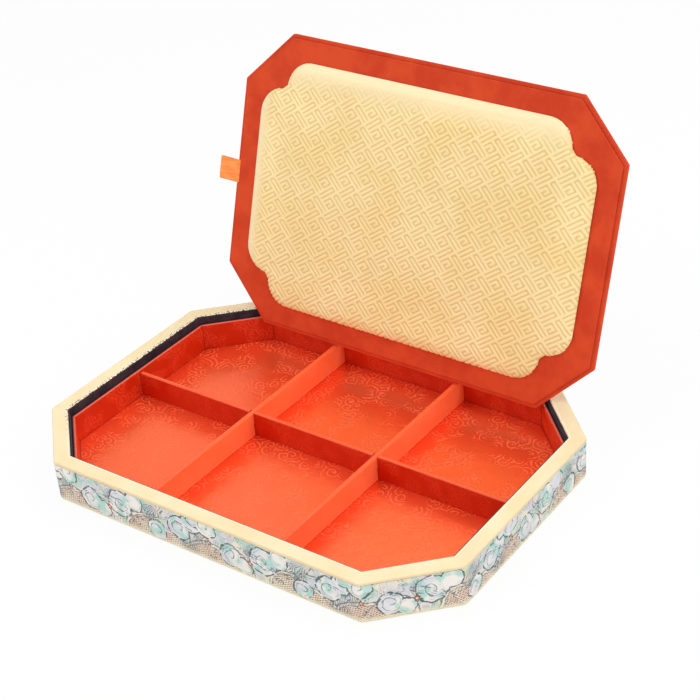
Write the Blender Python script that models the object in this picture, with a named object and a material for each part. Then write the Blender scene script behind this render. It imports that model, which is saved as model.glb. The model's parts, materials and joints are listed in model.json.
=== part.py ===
"""Octagonal jewelry tray with six compartments and a loose padded lid that stands in its recess.

The tray is built as a box maker builds it: a base board inside eight wall boards, a printed cloth
wrapped round them and turned in under the base, eight inner boards that form the lid's recess, a
velvet band inside those, and a flat rim frame over both walls. A red liner of eight walls and a
floor card fills it, and three dividers cross each other in halving joints. The lid is a board with a
smaller facing board, a padded panel on that and a ribbon tab. Its pieces are modelled as they lie
closed, padded side down on the dividers, and their parent empty turns them open about the tilt axis.
"""

import math

import bmesh
import bpy
from mathutils import Vector

MM = 0.001

# Overall sizes of the tray
LENGTH = 300.0 * MM
WIDTH = 215.0 * MM
HEIGHT = 28.5 * MM
CORNER_CUT = 41.0 * MM
CORNER_ROUND = 1.6 * MM

# Clearance that neighbouring pieces keep
GAP = 0.3 * MM

# Outer shell
RIM_WIDTH = 9.8 * MM
RIM_THICKNESS = 1.6 * MM
RIM_ROUND = 0.7 * MM
WRAP_THICKNESS = 0.7 * MM
WRAP_BEND = 2.8 * MM
WRAP_TURN_IN = 9.0 * MM
WRAP_LIFT = 0.2 * MM
WALL_THICKNESS = 2.5 * MM
BASE_THICKNESS = 2.4 * MM

# Recess for the lid, and the liner whose top edge is its ledge
RECESS_BOARD_THICKNESS = 2.5 * MM
VELVET_THICKNESS = 0.6 * MM
VELVET_ROUND = 0.25 * MM
VELVET_BELOW_RIM = 0.9 * MM
VELVET_BELOW_LEDGE = 2.5 * MM
LEDGE_DEPTH = 5.3 * MM
LINER_THICKNESS = 2.3 * MM
LINER_ROUND = 0.7 * MM
FLOOR_CARD_THICKNESS = 1.0 * MM

# Dividers
DIVIDER_THICKNESS = 3.0 * MM
DIVIDER_ROUND = 0.9 * MM
DIVIDER_DROP = 1.7 * MM

# Lid
LID_CLEARANCE = 1.5 * MM
LID_BOARD_THICKNESS = 2.3 * MM
LID_EDGE_ROUND = 0.4 * MM
FACING_STEP = 2.5 * MM
FACING_THICKNESS = 1.2 * MM
BACK_SHEET_STEP = 3.0 * MM
BACK_SHEET_THICKNESS = 0.4 * MM
LID_LEAN = math.radians(18.3)

# Padded panel on the lid
PAD_LENGTH = 243.6 * MM
PAD_WIDTH = 159.4 * MM
PAD_RISE = 3.4 * MM
PAD_SHOULDER = 13.0 * MM
PAD_LOBE = 17.0 * MM
PAD_LOBE_PLACE = 36.3 * MM
PAD_NOTCH = 18.3 * MM
PAD_COVER_THICKNESS = 0.6 * MM
PAD_CARD_THICKNESS = 0.8 * MM
PAD_FOAM_STEP = 1.2 * MM

# Ribbon tab on the lid's left edge
TAB_WIDTH = 15.0 * MM
TAB_REACH = 15.0 * MM
TAB_THICKNESS = 0.8 * MM
TAB_ROOT = 13.0 * MM

# Shape of the padded panel's lobes and of its swelling edge
LOBE_TURN = math.radians(75)
SHOULDER_EASE = 1.6
EDGE_FULLNESS = 0.8

# Facets of rounded edges and curves
ROUND_STEPS = 3
BEND_STEPS = 5
LOBE_STEPS = 5
CROWN_STEPS = 6

SIDES = ("front", "front_right", "right", "back_right", "back", "back_left", "left", "front_left")
X_AXIS = Vector((1, 0, 0))
Y_AXIS = Vector((0, 1, 0))

# How much shorter the corner cut gets for each unit that an outline moves inwards
CUT_SHARE = 2 - math.sqrt(2)

# Levels, from the table upwards
BOTTOM_SHEET_THICKNESS = WRAP_LIFT + WRAP_THICKNESS
BASE_BOTTOM = BOTTOM_SHEET_THICKNESS + GAP
BASE_TOP = BASE_BOTTOM + BASE_THICKNESS
FLOOR_BOTTOM = BASE_TOP + GAP
FLOOR_TOP = FLOOR_BOTTOM + FLOOR_CARD_THICKNESS
RIM_BOTTOM = HEIGHT - RIM_THICKNESS
BOARD_TOP = RIM_BOTTOM - GAP
LEDGE_TOP = HEIGHT - LEDGE_DEPTH
DIVIDER_BOTTOM = FLOOR_TOP + GAP
DIVIDER_TOP = LEDGE_TOP - DIVIDER_DROP
HALVING_LEVEL = (DIVIDER_BOTTOM + DIVIDER_TOP) / 2

# Insets, from the outer face inwards
WALL_OUT = WRAP_THICKNESS + GAP
WALL_IN = WALL_OUT + WALL_THICKNESS
VELVET_OUT = RIM_WIDTH + GAP
VELVET_IN = VELVET_OUT + VELVET_THICKNESS
RECESS_IN = VELVET_OUT - GAP
RECESS_OUT = RECESS_IN - RECESS_BOARD_THICKNESS
LINER_OUT = VELVET_IN + GAP
LINER_IN = LINER_OUT + LINER_THICKNESS
LID_INSET = VELVET_IN + LID_CLEARANCE

# Divider places: three equal compartments along the length, two across the width
LINER_HALF_LENGTH = LENGTH / 2 - LINER_IN
LINER_HALF_WIDTH = WIDTH / 2 - LINER_IN
COMPARTMENT_LENGTH = (2 * LINER_HALF_LENGTH - 2 * DIVIDER_THICKNESS) / 3
CROSS_DIVIDER_X = (COMPARTMENT_LENGTH + DIVIDER_THICKNESS) / 2

# Lid levels in its closed place
PAD_BOTTOM = DIVIDER_TOP + GAP
FACING_FACE = PAD_BOTTOM + PAD_RISE + GAP
LID_FACE = FACING_FACE + FACING_THICKNESS + GAP
LID_BACK = LID_FACE + LID_BOARD_THICKNESS
SHEET_FACE = LID_BACK + GAP
LID_HALF_LENGTH = LENGTH / 2 - LID_INSET
LID_HALF_WIDTH = WIDTH / 2 - LID_INSET

# The tilt axis lies as far from the lid's edge as lets that edge swing past the dividers' tops
HINGE_Z = (LID_FACE + LID_BACK) / 2
EDGE_SWING = HINGE_Z - DIVIDER_TOP - GAP
HINGE_Y = LID_HALF_WIDTH - math.sqrt(EDGE_SWING**2 - (LID_BOARD_THICKNESS / 2) ** 2)
HINGE_PLACE = Vector((0, HINGE_Y, HINGE_Z))
LID_SWING = math.pi / 2 + LID_LEAN

# The ribbon's level between the two boards, and the line where it folds
TAB_LEVEL = LID_FACE + TAB_THICKNESS / 2
TAB_AXIS_X = -(LID_HALF_LENGTH + TAB_THICKNESS)


def clear_scene():
    for thing in list(bpy.data.objects):
        bpy.data.objects.remove(thing)


def linear(*levels):
    """Screen colour levels, 0 to 255, as the linear values that a shader takes."""
    shares = [level / 255 for level in levels]
    return tuple(((share + 0.055) / 1.055) ** 2.4 if share > 0.04 else share / 12.92 for share in shares)


def material(name, levels, roughness, sheen=0.0):
    made = bpy.data.materials.new(name)
    made.use_nodes = True
    shader = made.node_tree.nodes["Principled BSDF"]
    shader.inputs["Base Color"].default_value = (*linear(*levels), 1)
    shader.inputs["Roughness"].default_value = roughness
    shader.inputs["Metallic"].default_value = 0.0
    shader.inputs["Sheen Weight"].default_value = sheen
    return made


def new_object(name, maker, finish, parent=None, origin=(0, 0, 0)):
    """Makes an object from a mesh drawn in the tray's frame; origin is its parent's place there."""
    bmesh.ops.recalc_face_normals(maker, faces=maker.faces)
    bmesh.ops.translate(maker, vec=-Vector(origin), verts=maker.verts)
    mesh = bpy.data.meshes.new(name)
    maker.to_mesh(mesh)
    maker.free()
    mesh.materials.append(finish)
    mesh.shade_smooth()
    mesh.set_sharp_from_angle(angle=math.radians(40))
    made = bpy.data.objects.new(name, mesh)
    bpy.context.scene.collection.objects.link(made)
    made.parent = parent
    return made


def new_empty(name, place, turn=(0, 0, 0), parent=None):
    made = bpy.data.objects.new(name, None)
    bpy.context.scene.collection.objects.link(made)
    made.parent = parent
    made.location = place
    made.rotation_euler = turn
    return made


def corners(inset):
    """The octagon's eight corners, counterclockwise from the front side's left end."""
    half_length = LENGTH / 2 - inset
    half_width = WIDTH / 2 - inset
    cut = CORNER_CUT - inset * CUT_SHARE
    x, y = half_length - cut, half_width - cut
    return [
        Vector(pair)
        for pair in (
            (-x, -half_width),
            (x, -half_width),
            (half_length, -y),
            (half_length, y),
            (x, half_width),
            (-x, half_width),
            (-half_length, y),
            (-half_length, -y),
        )
    ]


def arc(centre, radius, start, end, steps):
    """Points on an arc, both ends included; angles in radians."""
    angles = [start + (end - start) * step / steps for step in range(steps + 1)]
    return [(centre[0] + radius * math.cos(a), centre[1] + radius * math.sin(a)) for a in angles]


def outline(inset, radius=CORNER_ROUND):
    """The octagon moved inwards, with rounded corners."""
    points = []
    turn = math.pi / 4
    for index, corner in enumerate(corners(inset)):
        heading = (index - 1) * turn
        ahead = Vector((math.cos(heading), math.sin(heading)))
        left = Vector((-ahead.y, ahead.x))
        centre = corner - ahead * radius * math.tan(turn / 2) + left * radius
        start = heading - math.pi / 2
        points += arc(centre, radius, start, start + turn, ROUND_STEPS)
    return points


def skin(maker, loops):
    """Joins each loop of vertices to the next with quads."""
    for first, second in zip(loops, loops[1:]):
        for here in range(len(first)):
            after = (here + 1) % len(first)
            maker.faces.new((first[here], first[after], second[after], second[here]))


def raise_loops(maker, levels):
    """One loop of vertices for each (points, z)."""
    return [[maker.verts.new((x, y, z)) for x, y in points] for points, z in levels]


def slab(levels):
    """A solid between loops of points, closed by a flat face at each end."""
    maker = bmesh.new()
    loops = raise_loops(maker, levels)
    skin(maker, loops)
    maker.faces.new(loops[0])
    maker.faces.new(loops[-1])
    return maker


def ring(profile):
    """A closed frame round the octagon whose section is a polygon of (inset, z)."""
    maker = bmesh.new()
    loops = raise_loops(maker, [(outline(inset), z) for inset, z in profile])
    skin(maker, loops + loops[:1])
    return maker


def flat_board(inset, low, high):
    return slab([(outline(inset), low), (outline(inset), high)])


def eased_board(inset, low, high, radius):
    """A flat board whose upper and lower edges are rounded."""
    lower = arc((inset + radius, low + radius), radius, 1.5 * math.pi, math.pi, ROUND_STEPS)
    upper = arc((inset + radius, high - radius), radius, math.pi, math.pi / 2, ROUND_STEPS)
    return slab([(outline(edge), z) for edge, z in lower + upper])


def square_topped(inset_out, inset_in, low, high):
    """The section of a wall with square edges, as (inset, z)."""
    return [(inset_out, low), (inset_in, low), (inset_in, high), (inset_out, high)]


def round_topped(inset_out, inset_in, low, high, radius):
    """The section of a wall whose two upper edges are rounded, as (inset, z)."""
    outer = arc((inset_out + radius, high - radius), radius, math.pi, math.pi / 2, ROUND_STEPS)
    inner = arc((inset_in - radius, high - radius), radius, math.pi / 2, 0, ROUND_STEPS)
    return [(inset_out, low), *outer, *inner, (inset_in, low)]


def mitred_board(side, profile):
    """One wall of the octagon: a section of (inset, z) run between the mitres at its two corners."""
    maker = bmesh.new()
    trim = GAP / 2 / math.cos(math.pi / 8)
    ends = ([], [])
    for inset, z in profile:
        ring_corners = corners(inset)
        start, end = ring_corners[side], ring_corners[(side + 1) % len(SIDES)]
        ahead = (end - start).normalized() * trim
        ends[0].append(maker.verts.new((*(start + ahead), z)))
        ends[1].append(maker.verts.new((*(end - ahead), z)))
    skin(maker, ends)
    maker.faces.new(ends[0])
    maker.faces.new(ends[1])
    return maker


def walls(name, profile, finish):
    for side, side_name in enumerate(SIDES):
        new_object(f"{name}_{side_name}", mitred_board(side, profile), finish)


def sweep(points, direction, low, high):
    """Extrudes a flat polygon of points along a direction, from low to high."""
    maker = bmesh.new()
    face = maker.faces.new([maker.verts.new(Vector(point) + direction * low) for point in points])
    moved = bmesh.ops.extrude_face_region(maker, geom=[face])
    verts = [part for part in moved["geom"] if isinstance(part, bmesh.types.BMVert)]
    bmesh.ops.translate(maker, vec=direction * (high - low), verts=verts)
    return maker


def make_base(board, paper):
    new_object("base_board", flat_board(WALL_IN + GAP, BASE_BOTTOM, BASE_TOP), board)
    new_object("bottom_sheet", flat_board(WRAP_TURN_IN + GAP, 0, BOTTOM_SHEET_THICKNESS), paper)


def make_outer_walls(board):
    bend = WRAP_BEND - WALL_OUT
    level = WRAP_LIFT + WRAP_BEND
    foot = arc((WRAP_BEND, level), bend, math.pi, 1.5 * math.pi, BEND_STEPS)
    walls("outer_wall", [(WALL_OUT, BOARD_TOP), *foot, (WALL_IN, level - bend), (WALL_IN, BOARD_TOP)], board)


def make_printed_wrap(cloth):
    """The cloth runs from the rim down the walls, round the lower edge and in under the base."""
    centre = (WRAP_BEND, WRAP_LIFT + WRAP_BEND)
    outer_bend = arc(centre, WRAP_BEND, math.pi, 1.5 * math.pi, BEND_STEPS)
    inner_bend = arc(centre, WRAP_BEND - WRAP_THICKNESS, 1.5 * math.pi, math.pi, BEND_STEPS)
    turned_in = [(WRAP_TURN_IN, WRAP_LIFT), (WRAP_TURN_IN, WRAP_LIFT + WRAP_THICKNESS)]
    profile = [(0, BOARD_TOP), *outer_bend, *turned_in, *inner_bend, (WRAP_THICKNESS, BOARD_TOP)]
    new_object("printed_wrap", ring(profile), cloth)


def make_rim(cloth):
    new_object("rim_frame", ring(round_topped(0, RIM_WIDTH, RIM_BOTTOM, HEIGHT, RIM_ROUND)), cloth)


def make_recess(board, velvet):
    walls("recess_board", square_topped(RECESS_OUT, RECESS_IN, BASE_TOP + GAP, BOARD_TOP), board)
    velvet_low = LEDGE_TOP - VELVET_BELOW_LEDGE
    velvet_high = HEIGHT - VELVET_BELOW_RIM
    band = round_topped(VELVET_OUT, VELVET_IN, velvet_low, velvet_high, VELVET_ROUND)
    new_object("velvet_band", ring(band), velvet)


def make_liner(satin):
    walls("liner_wall", round_topped(LINER_OUT, LINER_IN, FLOOR_BOTTOM, LEDGE_TOP, LINER_ROUND), satin)
    new_object("floor_card", flat_board(LINER_IN + GAP, FLOOR_BOTTOM, FLOOR_TOP), satin)


def round_top_edges(maker, along):
    """Rounds the long edges at the top of a divider."""
    long_edges = []
    for edge in maker.edges:
        start, end = (vert.co for vert in edge.verts)
        on_top = min(start.z, end.z) > DIVIDER_TOP - DIVIDER_ROUND
        if on_top and abs((end - start).normalized().dot(along)) > 0.9:
            long_edges.append(edge)
    bmesh.ops.bevel(
        maker, geom=long_edges, offset=DIVIDER_ROUND, segments=ROUND_STEPS, profile=0.5, affect="EDGES"
    )


def make_dividers(satin):
    """The long divider is slotted from above and the cross dividers from below, so they halve together."""
    half = DIVIDER_THICKNESS / 2
    end = LINER_HALF_LENGTH - GAP
    side = [(end, DIVIDER_BOTTOM), (end, DIVIDER_TOP)]
    for place in (CROSS_DIVIDER_X, -CROSS_DIVIDER_X):
        side += slot_outline(place, DIVIDER_TOP, HALVING_LEVEL - GAP / 2)
    side += [(-end, DIVIDER_TOP), (-end, DIVIDER_BOTTOM)]
    long_divider = sweep([(x, 0, z) for x, z in side], Y_AXIS, -half, half)
    round_top_edges(long_divider, X_AXIS)
    new_object("long_divider", long_divider, satin)

    end = LINER_HALF_WIDTH - GAP
    side = [(end, DIVIDER_TOP), (end, DIVIDER_BOTTOM)]
    side += slot_outline(0, DIVIDER_BOTTOM, HALVING_LEVEL + GAP / 2)
    side += [(-end, DIVIDER_BOTTOM), (-end, DIVIDER_TOP)]
    for name, place in (("cross_divider_left", -CROSS_DIVIDER_X), ("cross_divider_right", CROSS_DIVIDER_X)):
        cross_divider = sweep([(0, y, z) for y, z in side], X_AXIS, place - half, place + half)
        round_top_edges(cross_divider, Y_AXIS)
        new_object(name, cross_divider, satin)


def slot_outline(place, mouth, end):
    """The four corners of a slot that takes another divider, as (place along, z)."""
    half = DIVIDER_THICKNESS / 2 + GAP
    return [(place + half, mouth), (place + half, end), (place - half, end), (place - half, mouth)]


def make_lid_boards(suede, paper, hinge):
    """The lid's board with the ribbon's pocket, the smaller facing board, and the sheet on its back."""
    board = eased_board(LID_INSET, LID_FACE, LID_BACK, LID_EDGE_ROUND)
    lid_board = new_object("lid_board", board, suede, hinge, HINGE_PLACE)
    cut_tab_pocket(lid_board, hinge)
    facing_back = FACING_FACE + FACING_THICKNESS
    facing = eased_board(LID_INSET + FACING_STEP, FACING_FACE, facing_back, LID_EDGE_ROUND)
    new_object("lid_facing_board", facing, suede, hinge, HINGE_PLACE)
    sheet = flat_board(LID_INSET + BACK_SHEET_STEP, SHEET_FACE, SHEET_FACE + BACK_SHEET_THICKNESS)
    new_object("lid_back_sheet", sheet, paper, hinge, HINGE_PLACE)


def cut_tab_pocket(lid_board, hinge):
    """A shallow pocket in the board's face takes the ribbon's glued end."""
    side = TAB_WIDTH / 2 + GAP
    outside = -LID_HALF_LENGTH - LID_BOARD_THICKNESS
    inside = -LID_HALF_LENGTH + TAB_ROOT + GAP
    low = LID_FACE - TAB_THICKNESS
    high = LID_FACE + TAB_THICKNESS + GAP
    section = [(outside, 0, low), (inside, 0, low), (inside, 0, high), (outside, 0, high)]
    maker = sweep(section, Y_AXIS, -side, side)
    cutter = new_object("tab_pocket_cutter", maker, lid_board.data.materials[0], hinge, HINGE_PLACE)
    cutter.hide_render = True
    cutter.display_type = "WIRE"
    pocket = lid_board.modifiers.new("tab pocket", "BOOLEAN")
    pocket.operation = "DIFFERENCE"
    pocket.object = cutter


def pad_outline(inset):
    """A rectangle whose corners are each two round lobes that meet in a notch on the diagonal."""
    half_length, half_width = PAD_LENGTH / 2, PAD_WIDTH / 2
    radius = max(PAD_LOBE - inset, GAP)
    near, far = PAD_LOBE, PAD_LOBE_PLACE
    notch = PAD_NOTCH + inset * math.cos(math.pi / 4)
    side_lobe = arc((half_length - near, half_width - far), radius, 0, LOBE_TURN, LOBE_STEPS)
    top_centre = (half_length - far, half_width - near)
    top_lobe = arc(top_centre, radius, math.pi / 2 - LOBE_TURN, math.pi / 2, LOBE_STEPS)
    first, last = Vector(side_lobe[-1]), Vector(top_lobe[0])
    middle = Vector((half_length - notch, half_width - notch))
    hollow = []
    for share in (1 / 3, 2 / 3):
        hollow.append(first * (1 - share) ** 2 + middle * 2 * share * (1 - share) + last * share**2)
    quarter = [tuple(point) for point in side_lobe + hollow + top_lobe]
    half = quarter + [(-x, y) for x, y in reversed(quarter)]
    return half + [(-x, -y) for x, y in half]


def crown(rise, inset, low=0.0):
    """(inset, height) along a padded edge that swells up from low and flattens on its shoulder."""
    found = []
    for step in range(CROWN_STEPS + 1):
        angle = math.pi / 2 * step / CROWN_STEPS
        reach = PAD_SHOULDER * (1 - math.cos(angle)) ** SHOULDER_EASE
        found.append((inset + reach, low + (rise - low) * math.sin(angle) ** EDGE_FULLNESS))
    return found


def make_pad(brocade, foam, paper, hinge):
    """A card, a layer of foam and a cover drawn over both; heights run down from the facing board."""
    seat = FACING_FACE - GAP

    def levels(profile):
        return [(pad_outline(inset), seat - height) for inset, height in profile]

    outer = crown(PAD_RISE, 0)
    inner = crown(PAD_RISE - PAD_COVER_THICKNESS, PAD_COVER_THICKNESS)
    new_object("pad_cover", slab(levels([*reversed(inner), *outer])), brocade, hinge, HINGE_PLACE)

    card_inset = PAD_COVER_THICKNESS + 2 * GAP
    card = slab(levels([(card_inset, 0), (card_inset, PAD_CARD_THICKNESS)]))
    new_object("pad_card", card, paper, hinge, HINGE_PLACE)

    foam_rise = PAD_RISE - PAD_COVER_THICKNESS - GAP
    foam_low = PAD_CARD_THICKNESS + GAP
    foam_crown = crown(foam_rise, PAD_COVER_THICKNESS + PAD_FOAM_STEP, foam_low)
    new_object("pad_foam", slab(levels(foam_crown)), foam, hinge, HINGE_PLACE)


def make_tab(ribbon, hinge):
    """The ribbon's glued end lies in its pocket, and its free loop folds about a line at the lid's edge."""
    half = TAB_THICKNESS / 2
    outer_end = TAB_AXIS_X + half + GAP
    inner_end = -LID_HALF_LENGTH + TAB_ROOT
    section = [(outer_end, TAB_LEVEL - half), (inner_end, TAB_LEVEL - half)]
    section += [(inner_end, TAB_LEVEL + half), (outer_end, TAB_LEVEL + half)]
    root = sweep([(x, 0, z) for x, z in section], Y_AXIS, -TAB_WIDTH / 2, TAB_WIDTH / 2)
    new_object("tab_root", root, ribbon, hinge, HINGE_PLACE)

    axis_place = Vector((TAB_AXIS_X, 0, TAB_LEVEL))
    fold = new_empty("tab_fold_axis", axis_place - HINGE_PLACE, parent=hinge)
    tip_x = -(LID_HALF_LENGTH + TAB_REACH) + half
    section = arc((TAB_AXIS_X, TAB_LEVEL), half, -math.pi / 2, math.pi / 2, BEND_STEPS)
    section += arc((tip_x, TAB_LEVEL), half, math.pi / 2, 1.5 * math.pi, BEND_STEPS)
    loop = sweep([(x, 0, z) for x, z in section], Y_AXIS, -TAB_WIDTH / 2, TAB_WIDTH / 2)
    new_object("pull_tab", loop, ribbon, fold, axis_place)


def make_tray():
    board = material("grey board", (176, 166, 150), 0.9)
    satin = material("red damask satin", (232, 78, 45), 0.55, 0.2)
    make_base(board, material("bottom paper", (40, 42, 52), 0.85))
    make_outer_walls(board)
    make_printed_wrap(material("printed cloth", (206, 208, 200), 0.75, 0.1))
    make_rim(material("cream rim cloth", (246, 228, 182), 0.65, 0.1))
    make_recess(board, material("navy velvet", (22, 24, 34), 0.95, 0.4))
    make_liner(satin)
    make_dividers(satin)


def make_lid():
    hinge = new_empty("lid_tilt_axis", HINGE_PLACE, (-LID_SWING, 0, 0))
    suede = material("red suede", (216, 70, 42), 0.9, 0.3)
    make_lid_boards(suede, material("lid back paper", (214, 92, 60), 0.8), hinge)
    brocade = material("cream brocade", (248, 222, 168), 0.5, 0.3)
    foam = material("pad foam", (240, 236, 220), 0.95)
    make_pad(brocade, foam, material("pad card", (200, 190, 170), 0.9), hinge)
    make_tab(material("orange ribbon", (250, 150, 70), 0.5, 0.1), hinge)


clear_scene()
make_tray()
make_lid()
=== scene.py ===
import json
import math
from collections import namedtuple

import bmesh
import bpy
import numpy as np
from mathutils import Matrix, Vector


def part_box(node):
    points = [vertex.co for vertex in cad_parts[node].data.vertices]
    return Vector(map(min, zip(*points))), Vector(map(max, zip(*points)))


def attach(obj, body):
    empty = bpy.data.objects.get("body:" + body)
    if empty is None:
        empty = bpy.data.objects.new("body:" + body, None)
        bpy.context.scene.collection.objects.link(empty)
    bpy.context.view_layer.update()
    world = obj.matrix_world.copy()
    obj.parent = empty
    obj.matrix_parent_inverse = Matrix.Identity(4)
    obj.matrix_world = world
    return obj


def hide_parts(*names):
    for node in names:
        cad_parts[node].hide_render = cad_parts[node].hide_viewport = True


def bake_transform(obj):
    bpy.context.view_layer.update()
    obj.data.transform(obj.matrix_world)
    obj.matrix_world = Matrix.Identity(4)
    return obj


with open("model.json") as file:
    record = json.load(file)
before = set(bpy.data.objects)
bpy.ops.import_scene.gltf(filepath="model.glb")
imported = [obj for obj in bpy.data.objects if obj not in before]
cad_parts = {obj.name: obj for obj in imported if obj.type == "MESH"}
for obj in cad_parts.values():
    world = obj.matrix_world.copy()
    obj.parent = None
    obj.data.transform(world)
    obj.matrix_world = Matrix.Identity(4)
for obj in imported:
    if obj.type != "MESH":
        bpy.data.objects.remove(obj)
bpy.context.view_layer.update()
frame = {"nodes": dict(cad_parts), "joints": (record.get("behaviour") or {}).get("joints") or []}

MM = 0.001
SAME_PLACE = 0.01 * MM
FULL_TURN = 2 * math.pi
WHITE = (1, 1, 1, 1)

# Camera, at the photograph's angle
VIEW_TURN = math.radians(35.122)
VIEW_HEIGHT = math.radians(33.223)
VIEW_ROLL = math.radians(-3.221)
VIEW_DISTANCE = 1.04392
VIEW_MIDDLE = Vector((0.018118, 0.087297, 0.015))
FRAME_PIXELS = 700
FOCAL_PIXELS = 1648.10
CENTRE_PIXEL = (418.57, 379.83)
SENSOR = 36.0

# Light: the place, the point it faces, the size in metres and the power in watts of each softbox
AMBIENT = 0.22
LAMPS = {
    "overhead softbox": ((0.0, 0.5, 1.35), (0.0, 0.0, 0.0), (1.2, 1.2), 9.6),
    "low front softbox": ((0.35, -1.6, 0.16), (0.0, 0.1, 0.1), (2.4, 0.3), 9.0),
    "right softbox": ((1.3, 0.1, 0.9), (0.0, 0.05, 0.0), (1.5, 1.5), 13.5),
    "upper left softbox": ((-0.8, -0.7, 1.1), (-0.05, 0.12, 0.14), (1.2, 1.2), 9.0),
}

# The white table, and the share of its look that is plain white, without shadows
TABLE_SIZE = 12.0
TABLE_GREY = (0.9, 0.9, 0.9, 1)
TABLE_GLOW = 0.93

# The tray's outline, from the frame
TRAY_LOW, TRAY_HIGH = (Vector(corner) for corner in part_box("printed_wrap"))
TRAY_LENGTH = TRAY_HIGH.x - TRAY_LOW.x
TRAY_WIDTH = TRAY_HIGH.y - TRAY_LOW.y
WALL_TOP = TRAY_HIGH.z
CORNER_CUT = 41.0 * MM
CORNER_ROUND = 1.6 * MM
CORNER_STEPS = 4

# Printed cloth round the walls
WRAP_THICKNESS = 0.7 * MM
WRAP_BEND = 2.8 * MM
WRAP_BEND_STEPS = 7
WRAP_TURN_IN = 9.0 * MM
WRAP_FOOT = TRAY_LOW.z
WRAP_SMOOTH_ANGLE = math.radians(35)

# From here to the lid, plain numbers are millimetres. From the tray's outline in: the rim's inner
# edge, how far in the painted shade beside the velvet reaches on the liner's top, and how far out
# the velvet's stray hairs reach
RIM_WIDTH = 9.8
PILE_SHADE_REACH = 12.3
PILE_STRAY = 1.9

# Distance between the ribs or threads of each cloth and paper
DAMASK_RIB = 0.5
RIM_THREAD = 0.62
PAPER_THREAD = 0.8
RIBBON_RIB = 0.45
BROCADE_RIB = 0.42
PRINT_THREAD = 0.5

# The print's repeat. Each figure has its place along the cloth and up from its bend, then its
# radius, and a set of rays has the lean of its lines as well
PRINT_REPEATS = 9
SCALE_BANKS = ((14, -15, 27), (29, 0, 14), (68, -1, 15), (82, -20, 29))
SCALE_WIDTH = 1.9
SCALE_RISE = 1.25
SCALE_ALONG = 0.94
SCALE_ACROSS = 0.34
RAYS = ((45, 15, 9, 0.5), (74, 16, 9, -0.7), (101, 4, 9, 0.2), (6, 14, 8, -0.3))
RAY_PITCH = 1.55
CLOUDS = (
    ((50, 14, 9.0), (61, 19, 6.5)),
    ((94, 14, 8.0), (103, 20, 6.5)),
    ((27, 9, 7.5), (36, 5, 5.5)),
    ((77, 6, 6.5),),
    ((10, 22, 7.5), (1, 24, 5.0)),
)
CURL_PITCH = 4.4
SWEEPS = ((38, -14, 31), (58, 38, 30), (88, -22, 40))
BLOSSOMS = ((41, 9, 2.0), (12, 12, 1.7))
PETALS = 5

# Lid: its pieces are drawn as they lie closed and are then turned open about the tilt axis
TILT = next(joint for joint in frame["joints"] if joint["name"] == "lid_tilt")
HINGE = Vector(TILT["pos_m"])
LID_SWING = math.radians(TILT["range_deg"][1])
OPEN_LID = (
    Matrix.Translation(HINGE) @ Matrix.Rotation(-LID_SWING, 4, "X") @ Matrix.Translation(-HINGE)
)

# Padded panel on the lid, whose face lies lowest when the lid is closed. Two boxes with round
# corners are laid crosswise for its lobes, and a middle one with cut corners closes their notches
PAD_LENGTH = 243.6 * MM
PAD_WIDTH = 159.4 * MM
PAD_SEAT = 25.2 * MM
PAD_RISE = 2.75 * MM
PAD_SHOULDER = 7.5 * MM
PAD_SHOULDER_STEPS = 10
PAD_SHOULDER_SHARE = 0.98
PAD_LOBE = 17.0 * MM
PAD_LOBE_STEPS = 14
PAD_LOBE_INSET = 19.3 * MM
PAD_MIDDLE_INSET = 10.0 * MM
PAD_MIDDLE_CUT = 15.2 * MM
PAD_MIDDLE_SHOULDER = 4.5 * MM
PAD_VOXEL = 1.5 * MM
PAD_GLUED = 0.4 * MM
PAD_SWELL = 0.2 * MM
PAD_SWELL_FRAMES = 20
PAD_UNDERSIDE_TILT = 0.75
PAD_FACE_CUTS = 2

# Key fret in relief on the pad. It fades from a plain edge at the left and at the top
FRET_RELIEF = 0.45 * MM
FRET_PITCH = 2.72 * MM
FRET_UP = math.radians(35.4)
FRET_DOWN = math.radians(-44.0)
FRET_PLAIN_LEFT = 2.0 * MM
FRET_FADE_LEFT = 8.0 * MM
FRET_PLAIN_TOP = 4.0 * MM
FRET_FADE_TOP = 14.0 * MM
FRET_STEEPEST = 0.2

# The same fret in line pitches: half a bar's width, its soft edge, and the bars and the spiral
FRET_HALF_BAR = 0.44
FRET_SOFT_EDGE = 0.22
FRET_BARS = (
    ((0, 0), (5, 0)),
    ((0, -2), (5, -2)),
    ((3, 0), (3, 5)),
    ((5, 0), (5, 5)),
    ((0, -1), (4, -1)),
    ((4, 5), (4, 1)),
)
FRET_SPIRAL = ((0, 1), (2, 1), (2, 2), (1, 2))
FRET_REPEAT = np.array(((5, -2), (2, 5)), float)

# Ribbon tab at the lid's left edge, and where it folds
RIBBON_THICKNESS = 0.35 * MM
RIBBON_WIDTH = 15.0 * MM
RIBBON_BEND = 0.55 * MM
RIBBON_GAP = 0.03 * MM
RIBBON_CUP = 0.25 * MM
RIBBON_LEVEL = 27.4 * MM
RIBBON_TIP = -152.78 * MM
RIBBON_ROOT = -124.9 * MM
RIBBON_FOLD = -138.6 * MM
RIBBON_BEND_MIDDLE = RIBBON_TIP + RIBBON_BEND
RIBBON_BEND_STEPS = 4
RIBBON_STEPS_LONG = 24
RIBBON_STEPS_WIDE = 12
RIBBON_SMOOTH_ANGLE = math.radians(40)


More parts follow.
